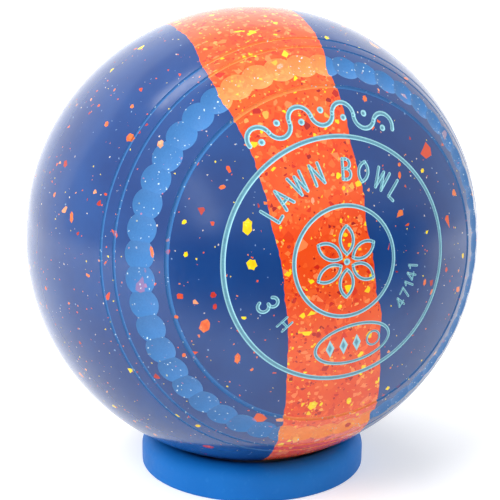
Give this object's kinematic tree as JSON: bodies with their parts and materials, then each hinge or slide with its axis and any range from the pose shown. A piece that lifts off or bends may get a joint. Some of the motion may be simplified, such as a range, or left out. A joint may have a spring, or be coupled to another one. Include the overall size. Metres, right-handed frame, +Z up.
{
  "type": "lawn bowl",
  "caption": "Blue and orange speckled lawn bowl with turned rings, a scooped grip and painted engraving, on a blue display ring.",
  "frame": {"origin": "centre of the underside of the display ring, on the surface that it stands on, under the centre of the bowl", "axes": "+Z up; the bowl's face with the large ring looks along -Y, tipped up by 3 degrees"},
  "size_m": [0.122, 0.1088, 0.1249],
  "materials": {
    "blue_resin": "polished",
    "orange_resin": "polished",
    "teal_paint": "matte",
    "yellow_resin": "polished",
    "light_orange_resin": "polished",
    "red_resin": "polished",
    "peach_resin": "polished",
    "blue_plastic": "satin"
  },
  "bodies": {
    "display_ring": {"display_ring": "blue_plastic"},
    "bowl": {"blue_section_left": "blue_resin", "orange_band": "orange_resin", "blue_section_right": "blue_resin", "large_ring_paint": "teal_paint", "small_ring_paint": "teal_paint", "emblem_paint": "teal_paint", "wave_ornament_paint": "teal_paint", "arc_lettering_paint": "teal_paint", "size_mark_paint": "teal_paint", "serial_mark_paint": "teal_paint", "stamp_border_paint": "teal_paint", "stamp_ornament_paint": "teal_paint", "back_ring_paint": "teal_paint", "back_emblem_paint": "teal_paint", "back_ornament_paint": "teal_paint", "yellow_chips": "yellow_resin", "orange_chips": "light_orange_resin", "red_chips": "red_resin", "peach_chips": "peach_resin"}
  },
  "joints": [
    {"name": "bowl_lift", "type": "slide", "parent": "display_ring", "child": "bowl", "axis": [0, 0, 1], "range_m": [0, 0.1]}
  ]
}
